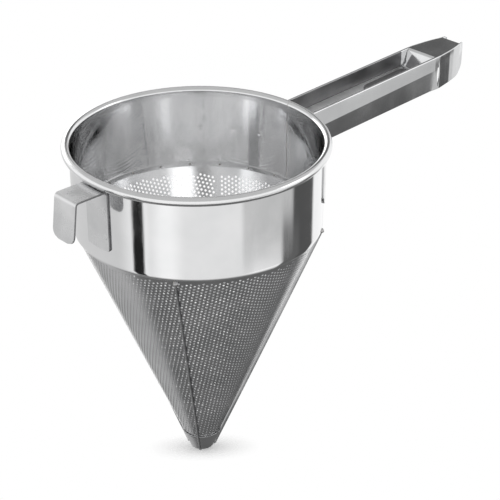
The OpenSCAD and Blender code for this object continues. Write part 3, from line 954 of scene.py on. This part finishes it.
# Azimuth, half width, softness, elevation, half height, softness, level; each lies over those before it
PANELS = [
    # above level
    (0, 360, 0, 62, 31, 4, 0.62),
    (78, 21, 3, 13, 9, 3, 2.9),
    (101, 3.5, 1, 21.5, 4, 1.5, 0.3),
    (36, 12, 4, 6, 11, 4, 0.62),
    (38, 14, 3, 27, 9, 2, 0.14),
    (58, 6, 1.5, 28, 6, 2, 0.5),
    (-43, 12, 4, 24.5, 11, 2, 2.1),
    # the ring that the band mirrors
    (100, 62, 12, -27, 14, 4, 0.74),
    (-130, 48, 4, -27, 14, 4, 0.95),
    (-160, 10, 8, -27, 14, 4, 1.15),
    (-64, 27, 2.5, -22, 7.5, 1, 0.64),
    (-20, 17, 3, -27, 14, 4, 0.10),
    (-12, 8, 2, -18.5, 5.5, 1, 0.9),
    (10, 12, 3, -27, 14, 4, 1.1),
    (173, 5.6, 1.5, -27, 14, 4, 0.02),
    (-38, 11, 3, -36.2, 8.2, 0.8, 0.14),
    # below
    (0, 360, 0, -90, 50, 5, 0.17),
    (92, 34, 14, -57, 18, 5, 0.55),
    (60, 10, 4, -38, 7, 3, 1.15),
]


def studio():
    """The panels light the strainer, while the camera sees plain white."""
    world = bpy.data.worlds.new("Studio")
    SCENE.world = world
    world.use_nodes = True
    world.node_tree.nodes.clear()
    g = Graph(world.node_tree)
    direction = g.add("ShaderNodeTexCoord").outputs["Generated"]
    x, y, z = g.add("ShaderNodeSeparateXYZ", Vector=direction).outputs
    azimuth = g.math("MULTIPLY", g.math("ARCTAN2", y, x), 180 / math.pi)
    elevation = g.math("MULTIPLY", g.math("ARCSINE", z), 180 / math.pi)

    def window(value, centre, half, soft, turn=False):
        d = g.math("SUBTRACT", value, centre)
        if turn:
            d = g.math("SUBTRACT", g.math("MODULO", g.math("ADD", d, 540.0), 360.0), 180.0)
        return g.ramp(g.math("ABSOLUTE", d), max(half - soft, 0.0), half + soft, 1.0, 0.0, "SMOOTHSTEP")

    total = BASE_LIGHT
    for a, a_half, a_soft, e, e_half, e_soft, level in PANELS:
        share = window(elevation, e, e_half, e_soft)
        if a_half < 180:
            share = g.math("MULTIPLY", window(azimuth, a, a_half, a_soft, turn=True), share)
        total = g.math("ADD", g.math("MULTIPLY", total, g.math("SUBTRACT", 1.0, share)),
                       g.math("MULTIPLY", share, level))
    tent = g.add("ShaderNodeBackground", Color=grey(1), Strength=total)
    white = g.add("ShaderNodeBackground", Color=grey(1), Strength=1.0)
    seen = g.add("ShaderNodeLightPath").outputs["Is Camera Ray"]
    g.blend(seen, tent.outputs[0], white.outputs[0], g.add("ShaderNodeOutputWorld"))


def floor():
    """A pale floor disc, shown only in a patch round the tip: its grey there is painted shadow, deepened by
    the tip's real shadow.
    """
    n = 128
    verts = [(0, 0, 0)] + [(x, y, 0) for x, y in around(0, 0, 900, [360 * k / n for k in range(n)])]
    ob = linked("floor", verts, [(0, k + 1, (k + 1) % n + 1) for k in range(n)])
    ob.location.z = (LOWEST_Z - 0.4) * MM
    nd = Nodes("pale_floor")
    nd.bsdf.inputs["Roughness"].default_value = 0.9
    nd.bsdf.inputs["Specular IOR Level"].default_value = 0.0
    nd.put(nd.mix(nd.noise(60, 2), grey(0.80), grey(0.82)), nd.bsdf.inputs["Base Color"])
    # The patch is an ellipse round the tip, 50 mm across the view and 21 mm along it, fading out: painted
    # shadow
    place = nd.add("ShaderNodeMapping", vector_type="TEXTURE", Vector=nd.coord, Location=(0.003, 0.001, 0),
                   Rotation=(0, 0, math.radians(48.8)), Scale=(0.42, 1, 1))
    far = nd.add("ShaderNodeVectorMath", operation="LENGTH")
    nd.put(place.outputs["Vector"], far.inputs[0])
    shadow_patch = nd.math("POWER", nd.ramp(far.outputs["Value"], 0.0, 0.05, 1, 0), 1.5)
    path = nd.add("ShaderNodeLightPath")
    shown = nd.math("MULTIPLY", shadow_patch, nd.math("SUBTRACT", 1.0, path.outputs["Is Glossy Ray"]))
    clear = nd.add("ShaderNodeBsdfTransparent")
    nd.blend(shown, clear.outputs[0], nd.bsdf.outputs[0], nd.tree.nodes["Material Output"])
    ob.data.materials.append(nd.mat)


studio()
floor()

SCENE.view_settings.view_transform = "Standard"
SCENE.view_settings.look = "None"
